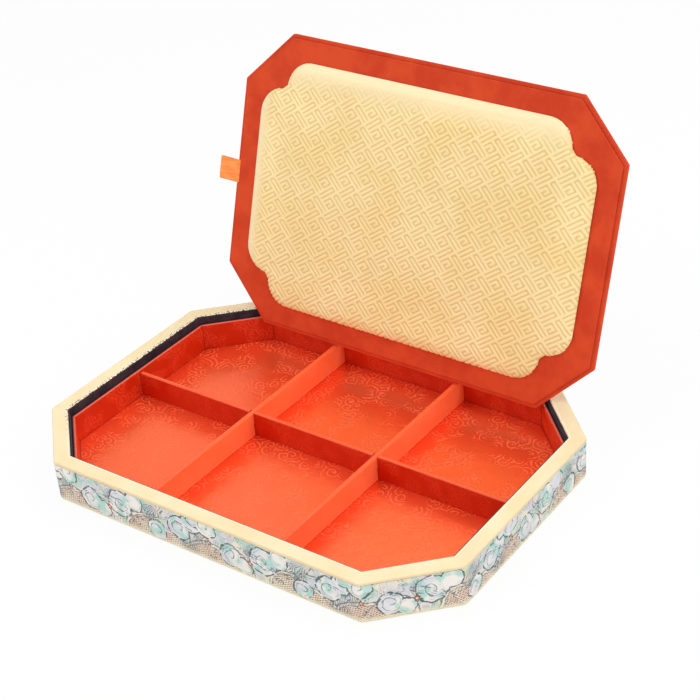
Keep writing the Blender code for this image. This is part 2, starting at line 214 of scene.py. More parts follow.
class Tone:
    """A number at each point of a surface, worked out by a material's math nodes."""

    def __init__(self, tree, socket):
        self.tree = tree
        self.socket = socket

    def math(self, operation, *items):
        node = self.tree.nodes.new("ShaderNodeMath")
        node.operation = operation
        for slot, item in zip(node.inputs, items):
            feed(self.tree, slot, item)
        return Tone(self.tree, node.outputs[0])

    def __add__(self, other):
        return self.math("ADD", self, other)

    def __sub__(self, other):
        return self.math("SUBTRACT", self, other)

    def __rsub__(self, other):
        return self.math("SUBTRACT", other, self)

    def __mul__(self, other):
        return self.math("MULTIPLY", self, other)

    def __truediv__(self, other):
        return self.math("DIVIDE", self, other)

    def __abs__(self):
        return self.math("ABSOLUTE", self)

    def least(self, other):
        return self.math("MINIMUM", self, other)

    def most(self, other):
        return self.math("MAXIMUM", self, other)

    def part(self):
        """What is left over whole numbers, from 0 to 1."""
        return self.math("FRACT", self)

    def wrapped(self, length):
        """The same distance counted to the nearest repeat."""
        return self.math("WRAP", self, length / 2, -length / 2)

    def fade(self, start, end):
        """0 before start and 1 after end, with a smooth change between; start may be the larger."""
        node = self.tree.nodes.new("ShaderNodeMapRange")
        node.interpolation_type = "SMOOTHSTEP"
        feed(self.tree, node.inputs["Value"], self)
        low, high = sorted((start, end))
        node.inputs["From Min"].default_value = low
        node.inputs["From Max"].default_value = high
        if start > end:
            node.inputs["To Min"].default_value = 1
            node.inputs["To Max"].default_value = 0
        return Tone(self.tree, node.outputs["Result"])

    def line(self, width, soft):
        """1 where this distance is near 0: a drawn line of that width with a soft edge."""
        return abs(self).fade(width / 2 + soft, width / 2)

    def ribs(self, pitch):
        """Ribs that far apart: a height that waves between 0 and 1 along this distance."""
        return self.math("SINE", self * (FULL_TURN / pitch)) * 0.5 + 0.5


def feed(tree, slot, item):
    """Sets a node's input from a tone, another node's output or a plain value."""
    if isinstance(item, Tone):
        tree.links.new(item.socket, slot)
    elif isinstance(item, bpy.types.NodeSocket):
        tree.links.new(item, slot)
    else:
        slot.default_value = item


def dye(*levels):
    """A screen colour, 0 to 255, as the linear colour that a shader takes."""
    shares = [level / 255 for level in levels]
    return (*(((s + 0.055) / 1.055) ** 2.4 if s > 0.04 else s / 12.92 for s in shares), 1)


class Finish:
    """The finish of one cloth, board or paper, built from nodes on its own shader."""

    def __init__(
        self, name, roughness, sheen=0.0, sheen_spread=0.3, sheen_colour=WHITE, specular=0.5
    ):
        self.material = bpy.data.materials.new(name)
        self.material.use_nodes = True
        self.tree = self.material.node_tree
        self.shader = self.tree.nodes["Principled BSDF"]
        self.shader.inputs["Roughness"].default_value = roughness
        self.shader.inputs["Sheen Weight"].default_value = sheen
        self.shader.inputs["Sheen Roughness"].default_value = sheen_spread
        self.shader.inputs["Sheen Tint"].default_value = sheen_colour
        self.shader.inputs["Specular IOR Level"].default_value = specular

    def node(self, kind, **settings):
        made = self.tree.nodes.new("ShaderNode" + kind)
        for setting, value in settings.items():
            setattr(made, setting, value)
        return made

    def place(self, kind="Object"):
        """The point's place on the object, in millimetres."""
        source = self.node("TexCoord")
        scaled = self.node("VectorMath", operation="SCALE")
        self.tree.links.new(source.outputs[kind], scaled.inputs[0])
        scaled.inputs["Scale"].default_value = 1 / MM
        return scaled.outputs[0]

    def parts(self, vector):
        node = self.node("SeparateXYZ")
        self.tree.links.new(vector, node.inputs[0])
        return [Tone(self.tree, output) for output in node.outputs]

    def join(self, x, y, z=0.0):
        node = self.node("CombineXYZ")
        for slot, item in zip(node.inputs, (x, y, z)):
            feed(self.tree, slot, item)
        return node.outputs[0]

    def noise(self, vector, size, detail=2.0, rough=0.5, flat=False):
        """Cloudy noise, 0 to 1, whose blots are about size millimetres across."""
        node = self.node("TexNoise", noise_dimensions="2D" if flat else "3D")
        self.tree.links.new(vector, node.inputs["Vector"])
        node.inputs["Scale"].default_value = 1 / size
        node.inputs["Detail"].default_value = detail
        node.inputs["Roughness"].default_value = rough
        return Tone(self.tree, node.outputs["Fac"])

    def mix(self, share, first, second):
        node = self.node("Mix", data_type="RGBA")
        feed(self.tree, node.inputs["Factor"], share)
        feed(self.tree, node.inputs[6], first)
        feed(self.tree, node.inputs[7], second)
        return node.outputs[2]

    def shade(self, colour, amount):
        """The colour made lighter or darker by a tone round 1."""
        node = self.node("VectorMath", operation="SCALE")
        feed(self.tree, node.inputs[0], colour)
        feed(self.tree, node.inputs["Scale"], amount)
        return node.outputs[0]

    def threads(self, across, along, pitch):
        """A plain weave: the height of crossing threads, 0 to 1."""
        warp = across.math("SINE", across * (FULL_TURN / pitch))
        weft = along.math("SINE", along * (FULL_TURN / pitch))
        return warp * weft * 0.5 + 0.5

    def scrolls(self, across, along, size, pitch):
        """Distance from the nearest line of scrolls, one to each patch of cloth of that size."""
        node = self.node("TexVoronoi", voronoi_dimensions="2D")
        self.tree.links.new(self.join(across, along), node.inputs["Vector"])
        node.inputs["Scale"].default_value = 1 / size
        middle_across, middle_along = self.parts(node.outputs["Position"])[:2]
        out_across = across - middle_across
        out_along = along - middle_along
        length = out_across.math("SQRT", out_across * out_across + out_along * out_along)
        angle = out_across.math("ARCTAN2", out_along, out_across) / FULL_TURN
        return ((length / pitch - angle).part() - 0.5) * pitch

    def set(self, colour, height, depth, strength=1.0, roughness=None, metallic=None):
        """Links the colour and the relief, whose full depth is in millimetres, to the shader."""
        feed(self.tree, self.shader.inputs["Base Color"], colour)
        bump = self.node("Bump")
        bump.inputs["Distance"].default_value = depth * MM
        bump.inputs["Strength"].default_value = strength
        feed(self.tree, bump.inputs["Height"], height)
        self.tree.links.new(bump.outputs[0], self.shader.inputs["Normal"])
        if roughness is not None:
            feed(self.tree, self.shader.inputs["Roughness"], roughness)
        if metallic is not None:
            feed(self.tree, self.shader.inputs["Metallic"], metallic)
        return self.material


def wall_coordinates(finish):
    """The place, then two distances in millimetres, and 1 on a flat face or 0 on a wall.

    The distances are along and up on a wall, and x and y on a flat face.
    """
    place = finish.place()
    x, y, z = finish.parts(place)
    source = finish.node("TexCoord")
    facing_x, facing_y, facing_z = finish.parts(source.outputs["Normal"])
    flat = abs(facing_z).fade(0.6, 0.75)
    along = y * facing_x - x * facing_y
    first = along + (x - along) * flat
    second = z + (y - z) * flat
    return place, first, second, flat


def inset_tone(x, y):
    """How far a point lies inside the tray's outline, in millimetres."""
    diagonal = ((TRAY_LENGTH + TRAY_WIDTH) / 2 - CORNER_CUT) / MM
    side = (TRAY_LENGTH / 2 / MM - abs(x)).least(TRAY_WIDTH / 2 / MM - abs(y))
    return side.least((diagonal - abs(x) - abs(y)) / math.sqrt(2))


def red_damask(name, ground_colour, figure_colour, edge_colour):
    """Satin with scrolls woven tone on tone, less glossy than their ground.

    A dark band in the velvet's colour is painted shade over the outer edge of the liner's top.
    """
    finish = Finish(name, 0.42, specular=0.3)
    place, across, up, flat = wall_coordinates(finish)
    x, y = finish.parts(place)[:2]
    steady = finish.join(across, up)
    sway = (finish.noise(steady, 6, 2.0, flat=True) - 0.5) * 4.0
    scroll = finish.scrolls(across + sway, up - sway, 8.5, 2.3).line(0.5, 0.3)
    patches = finish.noise(steady, 14, 1.0, flat=True).fade(0.4, 0.58)
    fine = (finish.noise(steady, 3.6, 1.0, flat=True) - 0.5).line(0.05, 0.04)
    figure = scroll.most(fine * 0.6) * patches
    ribs = (across + up).ribs(DAMASK_RIB)
    mottle = finish.noise(place, 14, 3.0) * 0.1 + 0.95
    colour = finish.mix(figure * 0.6, ground_colour, figure_colour)
    # Each top takes its edge colour; the liner walls' pale pink one is a painted highlight along
    # the top edge
    colour = finish.mix(flat, colour, edge_colour)
    # Painted shade: a dark band in the velvet's colour along the outer edge of the liner's top
    pile = inset_tone(x, y).fade(PILE_SHADE_REACH, PILE_SHADE_REACH - 0.5) * flat
    colour = finish.mix(pile, colour, dye(44, 36, 44))
    return finish.set(
        colour=finish.shade(colour, mottle),
        roughness=figure * 0.3 + 0.36,
        height=ribs * 0.3 + figure,
        depth=0.05,
        strength=0.5,
    )


def floor_satin():
    """The floor's damask is pulled flat and glossy, and mirrors the walls at its far edges."""
    finish = Finish("red damask on the floor", 0.34, specular=0.5)
    place = finish.place()
    x, y = finish.parts(place)[:2]
    sway = (finish.noise(place, 6, 2.0, flat=True) - 0.5) * 4.0
    scroll = finish.scrolls(x + sway, y - sway, 9.0, 3.0).line(0.5, 0.35)
    patches = finish.noise(place, 16, 1.0, flat=True).fade(0.44, 0.6)
    figure = scroll * patches
    ribs = (x + y).ribs(DAMASK_RIB)
    mottle = finish.noise(place, 14, 3.0) * 0.08 + 0.96
    ripple = finish.noise(place, 7, 1.5, flat=True)
    colour = finish.mix(figure, dye(252, 104, 56), dye(252, 104, 58))
    return finish.set(
        colour=finish.shade(colour, mottle),
        roughness=figure * 0.33 + 0.27,
        height=ribs * 0.04 + figure * 0.3 + ripple,
        depth=0.15,
        strength=0.7,
        metallic=0.62 - figure * 0.56,
    )


def red_suede():
    glow = dye(255, 110, 70)
    finish = Finish(
        "red suede cloth", 0.9, sheen=0.3, sheen_spread=0.5, sheen_colour=glow, specular=0.2
    )
    place = finish.place()
    nap = finish.noise(place, 1.3, 5.0, 0.65)
    strokes = finish.noise(place, 22, 3.0, 0.6)
    fine = finish.noise(place, 0.35, 2.0)
    colour = finish.mix(strokes.fade(0.35, 0.65), dye(200, 61, 31), dye(214, 75, 38))
    colour = finish.shade(colour, nap * 0.16 + 0.92)
    return finish.set(colour=colour, height=nap * 0.5 + fine * 0.5, depth=0.12, strength=0.5)


def lid_paper():
    finish = Finish("red lid back paper", 0.75, specular=0.3)
    place = finish.place()
    fibre = finish.noise(place, 1.8, 6.0, 0.7)
    cloud = finish.noise(place, 30, 2.0)
    colour = finish.mix(cloud, dye(206, 66, 42), dye(218, 80, 54))
    colour = finish.shade(colour, fibre * 0.14 + 0.93)
    return finish.set(colour=colour, height=fibre, depth=0.06, strength=0.5)


def cream_rim_cloth():
    """Cream cloth with a tan band of painted shade on its rounded outer edge and a pale band at its
    inner one.

    Its small hook fret only just shows; at the back left it is painted stronger, as painted sheen,
    and there stray hairs of the velvet's pile lie over the inner edge too.
    """
    glow = dye(255, 240, 205)
    finish = Finish("cream rim cloth", 0.6, sheen=0.15, sheen_spread=0.4, sheen_colour=glow)
    place = finish.place()
    x, y = finish.parts(place)[:2]
    weave = finish.threads(x + y, x - y, RIM_THREAD)
    blot = finish.noise(place, 18, 3.0)
    colour = finish.mix(blot.fade(0.3, 0.7), dye(251, 233, 193), dye(247, 225, 179))
    across = (x + y * 0.2).wrapped(3.4)
    along = (y - x * 0.2).wrapped(3.0)
    box = (abs(across).most(abs(along)) - 1.0).line(0.35, 0.25)
    gap = across.fade(-0.3, 0.3) * along.fade(-0.3, 0.3)
    # The fret is the cloth's own pattern; painting it stronger at the back left is painted sheen
    back_left_painted_sheen = (y - x).fade(120, 190)
    woven = box * (1.0 - gap) * (back_left_painted_sheen * 0.8 + 0.12)
    colour = finish.mix(woven * 0.4, colour, dye(206, 180, 134))
    inset = inset_tone(x, y)
    inner_band = inset.fade(RIM_WIDTH - 1.8, RIM_WIDTH - 1.0)
    colour = finish.mix(inner_band * 0.5, colour, dye(255, 250, 228))
    # Painted shade: a tan band where the cloth rounds over the outer edge
    outer_edge_painted_shade = inset.fade(0.7, 0.2)
    colour = finish.mix(outer_edge_painted_shade * 0.4, colour, dye(214, 186, 134))
    stray = finish.noise(place, 1.1, 1.0).fade(0.5, 0.66)
    pile = (inset + stray * PILE_STRAY).fade(RIM_WIDTH - 0.25, RIM_WIDTH)
    colour = finish.mix(pile * (y - x).fade(20, 90), colour, dye(48, 40, 48))
    return finish.set(
        colour=finish.shade(colour, weave * 0.05 + 0.965),
        height=weave + woven,
        depth=0.06,
        strength=0.6,
    )


def navy_velvet():
    glow = dye(120, 125, 150)
    finish = Finish(
        "navy velvet", 0.95, sheen=0.5, sheen_spread=0.35, sheen_colour=glow, specular=0.1
    )
    place = finish.place()
    pile = finish.noise(place, 0.5, 3.0, 0.7)
    stroke = finish.noise(place, 9, 3.0, 0.6)
    colour = finish.mix(stroke.fade(0.35, 0.7), dye(44, 36, 44), dye(66, 56, 64))
    colour = finish.shade(colour, pile * 0.7 + 0.65)
    return finish.set(colour=colour, height=pile, depth=0.2, strength=0.7)


def grey_board():
    finish = Finish("grey board", 0.9, specular=0.2)
    place = finish.place()
    fibre = finish.noise(place, 0.9, 5.0, 0.7)
    fleck = finish.noise(place, 0.4, 0.0).fade(0.68, 0.74)
    colour = finish.mix(fibre, dye(168, 158, 142), dye(188, 179, 164))
    colour = finish.mix(fleck * 0.5, colour, dye(120, 110, 96))
    return finish.set(colour=colour, height=fibre, depth=0.08, strength=0.5)


def bottom_paper():
    finish = Finish("dark bottom paper", 0.8, specular=0.3)
    place = finish.place()
    fibre = finish.noise(place, 1.2, 5.0, 0.65)
    x, y = finish.parts(place)[:2]
    weave = finish.threads(x, y, PAPER_THREAD)
    colour = finish.mix(fibre, dye(38, 40, 50), dye(54, 56, 68))
    return finish.set(colour=colour, height=weave * 0.5 + fibre * 0.5, depth=0.08, strength=0.6)


def pad_card_finish():
    finish = Finish("pad card", 0.9, specular=0.2)
    place = finish.place()
    fibre = finish.noise(place, 0.8, 4.0, 0.7)
    colour = finish.mix(fibre, dye(196, 186, 164), dye(212, 203, 184))
    return finish.set(colour=colour, height=fibre, depth=0.05)


def pad_foam_finish():
    finish = Finish("pad foam", 0.95, specular=0.1)
    place = finish.place()
    cells = finish.noise(place, 0.5, 2.0, 0.6)
    colour = finish.mix(cells, dye(226, 220, 200), dye(246, 242, 228))
    return finish.set(colour=colour, height=cells, depth=0.15)


def orange_satin():
    glow = dye(255, 210, 160)
    finish = Finish("orange satin ribbon", 0.38, sheen=0.2, sheen_spread=0.3, sheen_colour=glow)
    x, y = finish.parts(finish.place("UV"))[:2]
    ribs = y.ribs(RIBBON_RIB)
    bands = finish.noise(finish.join(x * 0.15, y), 1.6, 2.0, flat=True)
    colour = finish.mix(bands.fade(0.3, 0.7), dye(250, 132, 48), dye(255, 158, 74))
    selvage = abs(y).fade(6.6, 7.1)
    colour = finish.mix(selvage * 0.5, colour, dye(226, 110, 40))
    return finish.set(colour=colour, height=ribs, depth=0.04, strength=0.5)


def cream_brocade():
    """Satin brocade: the raised fret is smooth and pale, and its ground duller and deeper, a colour
    that is partly woven tone and partly painted shade in the grooves.
    """
    glow = dye(255, 236, 190)
    finish = Finish("cream brocade", 0.5, sheen=0.25, sheen_spread=0.4, sheen_colour=glow)
    fret = finish.node("Attribute", attribute_name="fret")
    raised = Tone(finish.tree, fret.outputs["Fac"])
    x, y = finish.parts(finish.place("UV"))[:2]
    twill = (x * 0.6 + y).ribs(BROCADE_RIB)
    cross = (x - y * 0.6).ribs(BROCADE_RIB)
    thread = twill + (cross - twill) * raised
    blot = finish.noise(finish.place(), 40, 2.0)
    # The ground's deeper colour is partly the weave's own tone and partly painted shade in the
    # grooves
    ground = finish.mix(blot.fade(0.35, 0.65), dye(230, 202, 136), dye(226, 196, 128))
    line = finish.mix(blot.fade(0.35, 0.65), dye(250, 229, 170), dye(246, 220, 154))
    stretched = finish.node("Attribute", attribute_name="stretched")
    colour = finish.mix(raised, ground, line)
    # Painted highlight: the plain edge at the left and top is painted paler, as shoulders catching
    # the light
    colour = finish.mix(stretched.outputs["Fac"], colour, dye(252, 234, 186))
    return finish.set(
        colour=finish.shade(colour, thread * 0.05 + 0.965),
        roughness=0.62 - raised * 0.2,
        height=thread,
        depth=0.05,
        strength=0.5,
    )


def printed_cloth():
    """A generic traditional print: clouds, banks of wave scales, blossoms and brush strokes."""
    finish = Finish("printed cloth", 0.7, sheen=0.1, sheen_spread=0.4)
    repeat = PRINT_LENGTH / PRINT_REPEATS / MM
    true_u, true_v = finish.parts(finish.place("UV"))[:2]
    steady = finish.join(true_u, true_v)
    sway = finish.noise(steady, 7, 1.2, 0.4, flat=True) - 0.5
    drift = finish.noise(finish.join(true_u + 200, true_v), 7, 1.2, 0.4, flat=True) - 0.5
    u = true_u + sway * 3.2
    v = true_v + drift * 2.6
    hand = finish.join(u, v)
    brush = finish.noise(finish.join(true_u + 90, true_v), 3.2, 1.0, flat=True)

    def away(x, y):
        """Distances along and up from a point of every repeat, and the straight distance."""
        away_u = (u - x).wrapped(repeat)
        away_v = v - y
        return away_u, away_v, u.math("SQRT", away_u * away_u + away_v * away_v)

    def drawn(distance, width, soft=0.22):
        """A brushed line, whose width swells and thins."""
        reach = (brush.fade(0.3, 0.66) * 0.8 + 0.2) * (width / 2)
        return (abs(distance) - reach).fade(soft, 0)

    # Ground with washes of blue green and straw, and fine brushed squiggles
    wash = finish.noise(hand, 12, 2.5, flat=True)
    colour = finish.mix(wash.fade(0.35, 0.65), dye(226, 217, 208), dye(202, 202, 208))
    pool = finish.noise(finish.join(u + 60, v), 9, 2.0, flat=True)
    colour = finish.mix(pool.fade(0.5, 0.64) * 0.8, colour, dye(156, 200, 186))
    straw = finish.noise(finish.join(u + 130, v), 10, 2.0, flat=True)
    colour = finish.mix(straw.fade(0.56, 0.7) * 0.6, colour, dye(238, 224, 176))
    squiggle = ((finish.noise(hand, 5.5, 1.5, flat=True) * 8.0).part() - 0.5).line(0.1, 0.1)
    sketched = finish.noise(finish.join(u, v + 70), 9, 1.0, flat=True).fade(0.46, 0.56)
    colour = finish.mix(squiggle * sketched * 0.8, colour, dye(112, 114, 112))

    # Banks of overlapping scales below wavy crests
    bank = None
    for x, y, radius in SCALE_BANKS:
        reach = away(x, y)[2] - radius
        bank = reach if bank is None else bank.least(reach)
    slant_u = true_u * SCALE_ALONG + true_v * SCALE_ACROSS + sway * 1.5
    slant_v = true_v * SCALE_ALONG - true_u * SCALE_ACROSS + drift * 1.5
    edge = SCALE_WIDTH / 2

    def scale_row(ahead):
        """Distance from the middle of the nearest scale, that many rows ahead of the point."""
        row = u.math("FLOOR", slant_v / SCALE_RISE) + ahead
        offset = abs(u.math("MODULO", row, 2.0)) * 0.5
        middle = (u.math("FLOOR", slant_u / SCALE_WIDTH + offset) - offset + 0.5) * SCALE_WIDTH
        from_middle = slant_u - middle
        from_row = slant_v - row * SCALE_RISE
        return u.math("SQRT", from_middle * from_middle + from_row * from_row)

    near = scale_row(0.0)
    far = scale_row(-1.0)
    scale = near + (far - near) * near.fade(edge - 0.05, edge + 0.05)
    rust = finish.noise(hand, 8, 2.0, flat=True)
    fill = finish.mix(rust.fade(0.4, 0.6), dye(238, 226, 202), dye(230, 202, 180))
    fill = finish.mix(scale.fade(0.68, 0.48), fill, dye(96, 52, 40))
    fill = finish.mix((scale - edge).line(0.16, 0.16) * 0.7, fill, dye(112, 84, 70))
    colour = finish.mix(bank.fade(0.1, -0.1), colour, fill)
    colour = finish.mix((bank + 1.0).line(1.1, 0.3) * 0.7, colour, dye(234, 226, 214))
    colour = finish.mix(drawn(bank, 0.9) * 0.85, colour, dye(86, 88, 88))
    colour = finish.mix(drawn(bank + 1.9, 0.45) * 0.7, colour, dye(96, 92, 88))

    # Brushed rays beside the clouds
    for x, y, reach, lean in RAYS:
        away_u, away_v, length = away(x, y)
        ray = ((away_u + away_v * lean + sway * 3.0) / RAY_PITCH).part() - 0.5
        strength = ray.line(0.3, 0.22) * length.fade(reach, reach * 0.5)
        colour = finish.mix(strength * 0.85, colour, dye(96, 108, 112))

    # Clouds with a broken outline, and a curl in the first lobe of each
    for cloud in CLOUDS:
        rim = None
        curl = None
        for x, y, radius in cloud:
            away_u, away_v, length = away(x, y)
            rim = length - radius if rim is None else rim.least(length - radius)
            if curl is None:
                angle = u.math("ARCTAN2", away_v, away_u) / FULL_TURN
                turn = ((length / CURL_PITCH - angle).part() - 0.5) * CURL_PITCH
                lobe = length.fade(radius * 0.72, radius * 0.64) * length.fade(0.9, 1.2)
                curl = drawn(turn, 0.8) * lobe
        inside = rim.fade(0.1, -0.1)
        shade = pool.fade(0.46, 0.66)
        fill = finish.mix(wash.fade(0.35, 0.65), dye(234, 228, 220), dye(212, 210, 216))
        fill = finish.mix(shade * 0.8, fill, dye(152, 204, 192))
        colour = finish.mix(inside, colour, fill)
        colour = finish.mix(curl * inside * 0.8, colour, dye(96, 112, 116))
        echo = drawn(rim + 1.6, 0.4) * inside * sketched
        colour = finish.mix(echo * 0.6, colour, dye(118, 136, 138))
        outline = drawn(rim, 1.05) * brush.fade(0.32, 0.44)
        colour = finish.mix(outline * 0.95, colour, dye(62, 76, 82))

    # Long sweeping strokes, each with a finer one inside it
    loaded = brush.fade(0.44, 0.54)
    for x, y, radius in SWEEPS:
        sweep = away(x, y)[2] - radius
        colour = finish.mix(drawn(sweep, 0.7) * loaded * 0.85, colour, dye(84, 98, 102))
        colour = finish.mix(drawn(sweep + 1.6, 0.4) * loaded * 0.7, colour, dye(104, 112, 112))

    # Blossoms
    for x, y, size in BLOSSOMS:
        away_u, away_v, length = away(x, y)
        angle = u.math("ARCTAN2", away_v, away_u)
        petal = length - (u.math("SINE", angle * PETALS) * 0.25 + 0.9) * size
        colour = finish.mix(petal.fade(0.2, -0.2), colour, dye(138, 66, 62))
        colour = finish.mix(length.fade(size * 0.4, size * 0.3), colour, dye(232, 206, 140))

    # Pale straw along the lower edge as painted light, where the bend catches light off the table,
    # straw colour along the upper edge, worn ink, and the cloth's own threads
    # Painted light: the bend at the foot catches light from the white table
    colour = finish.mix(true_v.fade(2.6, -1.0) * 0.75, colour, dye(240, 230, 192))
    colour = finish.mix(true_v.fade(23.0, 24.4) * 0.7, colour, dye(240, 230, 192))
    worn = finish.noise(steady, 0.8, 2.0, flat=True)
    colour = finish.mix(worn.fade(0.55, 0.72) * 0.5, colour, dye(236, 232, 226))
    threads = finish.threads(true_u, true_v, PRINT_THREAD)
    colour = finish.shade(colour, threads * 0.05 + worn * 0.1 + 0.92)
    return finish.set(colour=colour, height=threads * 0.6 + worn * 0.4, depth=0.06, strength=0.5)


def start_modelling():
    """Nothing is selected, so that an operator acts only on the piece in hand."""
    if bpy.context.mode != "OBJECT":
        bpy.ops.object.mode_set(mode="OBJECT")
    bpy.ops.object.select_all(action="DESELECT")


def name_piece(piece, name, material):
    piece.name = name
    piece.data.name = name
    piece.data.materials.clear()
    piece.data.materials.append(material)


def thicken(piece, thickness, offset):
    """Gives a sheet its thickness, inwards for an offset of -1 and to both sides for 0."""
    modifier = piece.modifiers.new("thickness", "SOLIDIFY")
    modifier.thickness = thickness
    modifier.offset = offset
    bpy.ops.object.modifier_apply(modifier=modifier.name)


def finish_piece(piece, name, material, body, replaced):
    name_piece(piece, name, material)
    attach(piece, body)
    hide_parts(*replaced)


def octagon_plate(level):
    """A flat octagon at that height: a rectangle with its four corners cut off."""
    start_modelling()
    bpy.ops.mesh.primitive_plane_add(size=1, location=(0, 0, level))
    plate = bpy.context.object
    plate.scale = (TRAY_LENGTH, TRAY_WIDTH, 1)
    bpy.ops.object.transform_apply(location=True, rotation=True, scale=True)
    bpy.ops.object.mode_set(mode="EDIT")
    bpy.ops.mesh.select_all(action="SELECT")
    bpy.ops.mesh.bevel(offset=CORNER_CUT, offset_type="OFFSET", segments=1, affect="VERTICES")
    bpy.ops.mesh.select_all(action="SELECT")
    return plate


def pick(maker, kind, wanted):
    """Selects only the vertices, edges or faces for which wanted is true."""
    for part in (*maker.verts, *maker.edges, *maker.faces):
        part.select = False
    for part in getattr(maker, kind):
        if wanted(part):
            part.select_set(True)
    maker.select_flush_mode()


def make_printed_wrap(material):
    """The cloth runs from the rim down the walls, round the lower edge and in under the base."""
    wrap = octagon_plate(WALL_TOP)
    drop = (0, 0, WRAP_FOOT - WALL_TOP)
    bpy.ops.mesh.extrude_region_move(TRANSFORM_OT_translate={"value": drop})
    maker = bmesh.from_edit_mesh(wrap.data)
    bpy.ops.mesh.select_mode(type="FACE")
    pick(maker, "faces", lambda face: is_level(face) and face.calc_center_median().z > WALL_TOP / 2)
    bpy.ops.mesh.delete(type="FACE")
    pick(maker, "faces", is_level)
    bpy.ops.mesh.inset(thickness=WRAP_TURN_IN, use_even_offset=True)
    bpy.ops.mesh.delete(type="FACE")
    bpy.ops.mesh.select_mode(type="EDGE")
    maker = bmesh.from_edit_mesh(wrap.data)
    pick(maker, "edges", lambda edge: all(is_foot(vert.co) for vert in edge.verts))
    bpy.ops.mesh.bevel(
        offset=WRAP_BEND, offset_type="OFFSET", segments=WRAP_BEND_STEPS, affect="EDGES"
    )
    maker = bmesh.from_edit_mesh(wrap.data)
    pick(maker, "edges", is_corner_fold)
    bpy.ops.mesh.bevel(
        offset=CORNER_ROUND, offset_type="OFFSET", segments=CORNER_STEPS, affect="EDGES"
    )
    bpy.ops.mesh.select_all(action="SELECT")
    bpy.ops.mesh.normals_make_consistent(inside=False)
    bpy.ops.object.mode_set(mode="OBJECT")
    map_round_walls(wrap)
    thicken(wrap, WRAP_THICKNESS, -1)
    bpy.ops.object.shade_smooth_by_angle(angle=WRAP_SMOOTH_ANGLE)
    finish_piece(wrap, "printed_wrap_cloth", material, "tray", ["printed_wrap"])


def is_level(face):
    return abs(face.normal.z) > 0.9


def is_foot(point):
    """Whether a point lies on the outline's lower edge."""
    return abs(point.z - WRAP_FOOT) < SAME_PLACE and octagon_inset(point) < SAME_PLACE


def is_corner_fold(edge):
    """Whether an edge runs down, round or in along one of the corners, where two sides meet."""
    start, end = (vert.co for vert in edge.verts)
    nearest = [sorted(side_insets(point))[:2] for point in (start, end)]
    meeting = all(second - first < SAME_PLACE for first, second in nearest)
    return meeting and (end - start).to_2d().length < CORNER_CUT / 2


def side_insets(point):
    """How far a point lies inside the nearest long side, short side and cut corner."""
    x, y = abs(point.x), abs(point.y)
    diagonal = (TRAY_LENGTH + TRAY_WIDTH) / 2 - CORNER_CUT
    return TRAY_LENGTH / 2 - x, TRAY_WIDTH / 2 - y, (diagonal - x - y) / math.sqrt(2)


def octagon_inset(point):
    """How far a point lies inside the tray's outline."""
    return min(side_insets(point))


Wall = namedtuple("Wall", "start ahead length gone")


def octagon_walls():
    """The eight sides, each with the length of outline gone before it, and the whole length."""
    x = TRAY_LENGTH / 2
    y = TRAY_WIDTH / 2
    a = x - CORNER_CUT
    b = y - CORNER_CUT
    corners = [(-a, -y), (a, -y), (x, -b), (x, b), (a, y), (-a, y), (-x, b), (-x, -b)]
    corners = [Vector(corner) for corner in corners]
    walls = []
    gone = 0.0
    for here, there in zip(corners, corners[1:] + corners[:1]):
        length = (there - here).length
        walls.append(Wall(here, (there - here) / length, length, gone))
        gone += length
    return walls, gone


WALLS, PRINT_LENGTH = octagon_walls()


def map_round_walls(piece):
    """UV in metres: the distance round the tray, and up the cloth from the top of its bend."""
    mesh = piece.data
    layer = mesh.uv_layers[0]
    bend_start = WRAP_FOOT + WRAP_BEND
    for face in mesh.polygons:
        centre = face.center.to_2d()
        side = min(WALLS, key=lambda wall: wall_distance(centre, wall))
        for loop in face.loop_indices:
            point = mesh.vertices[mesh.loops[loop].vertex_index].co
            along = side.gone + (point.to_2d() - side.start).dot(side.ahead)
            inset = octagon_inset(point)
            if point.z >= bend_start:
                up = point.z - bend_start
            elif inset < WRAP_BEND:
                angle = math.atan2(bend_start - point.z, max(WRAP_BEND - inset, 0.0))
                up = -WRAP_BEND * angle
            else:
                up = -WRAP_BEND * math.pi / 2 - (inset - WRAP_BEND)
            layer.data[loop].uv = (along, up)


def wall_distance(point, wall):
    away = point - wall.start
    along = min(max(away.dot(wall.ahead), 0.0), wall.length)
    return (away - wall.ahead * along).length


def pad_box(length, width, corner, segments, shoulder):
    """One of the pad's boxes: its upright corners bevelled, then its shoulder, then flattened."""
    start_modelling()
    bpy.ops.mesh.primitive_cube_add(size=1, location=(0, 0, PAD_SEAT - shoulder / 2))
    box = bpy.context.object
    box.scale = (length, width, shoulder)
    bpy.ops.object.transform_apply(location=True, rotation=True, scale=True)
    bpy.ops.object.mode_set(mode="EDIT")
    bpy.ops.mesh.select_mode(type="EDGE")
    maker = bmesh.from_edit_mesh(box.data)
    pick(maker, "edges", is_upright)
    bpy.ops.mesh.bevel(offset=corner, segments=segments, affect="EDGES")
    maker = bmesh.from_edit_mesh(box.data)
    face_level = PAD_SEAT - shoulder + SAME_PLACE
    pick(maker, "edges", lambda edge: all(vert.co.z < face_level for vert in edge.verts))
    rounded = shoulder * PAD_SHOULDER_SHARE
    bpy.ops.mesh.bevel(offset=rounded, segments=PAD_SHOULDER_STEPS, affect="EDGES")
    bpy.ops.mesh.select_all(action="SELECT")
    flatter = PAD_RISE / shoulder
    bpy.ops.transform.resize(value=(1, 1, flatter), center_override=(0, 0, PAD_SEAT))
    bpy.ops.object.mode_set(mode="OBJECT")
    return box


def is_upright(edge):
    start, end = (vert.co for vert in edge.verts)
    return abs(start.z - end.z) > SAME_PLACE


